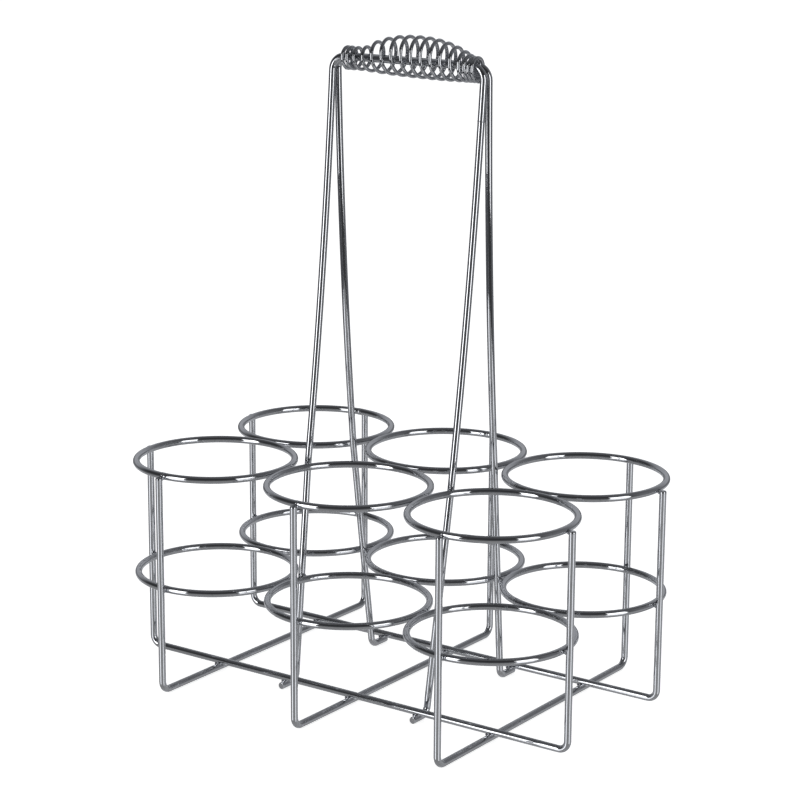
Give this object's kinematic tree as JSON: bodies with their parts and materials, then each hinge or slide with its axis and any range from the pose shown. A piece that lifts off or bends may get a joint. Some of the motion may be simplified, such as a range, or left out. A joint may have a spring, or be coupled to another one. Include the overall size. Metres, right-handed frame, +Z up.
{
  "type": "beer bottle caddy",
  "caption": "Chromed wire bottle caddy: rings in rows on stacked levels, upright wires that cross under them, and a tall arched handle with a coil spring grip.",
  "frame": {"origin": "on the surface that the caddy stands on, under the middle of the carrier", "axes": "+X along the rows of rings, +Y from the front row to the back row, +Z up"},
  "size_m": [0.2368, 0.16, 0.3006],
  "materials": {
    "wire": "bright chrome plate",
    "spring": "bright plated spring wire"
  },
  "bodies": {
    "root": {"ring_upper_front_left": "wire", "ring_upper_front_middle": "wire", "ring_upper_front_right": "wire", "ring_upper_back_left": "wire", "ring_upper_back_middle": "wire", "ring_upper_back_right": "wire", "ring_lower_front_left": "wire", "ring_lower_front_middle": "wire", "ring_lower_front_right": "wire", "ring_lower_back_left": "wire", "ring_lower_back_middle": "wire", "ring_lower_back_right": "wire", "long_wire_front": "wire", "long_wire_back": "wire", "short_wire_left": "wire", "short_wire_middle": "wire", "short_wire_right": "wire", "handle_wire_front": "wire", "handle_wire_back": "wire", "grip_coil": "spring"}
  },
  "joints": []
}
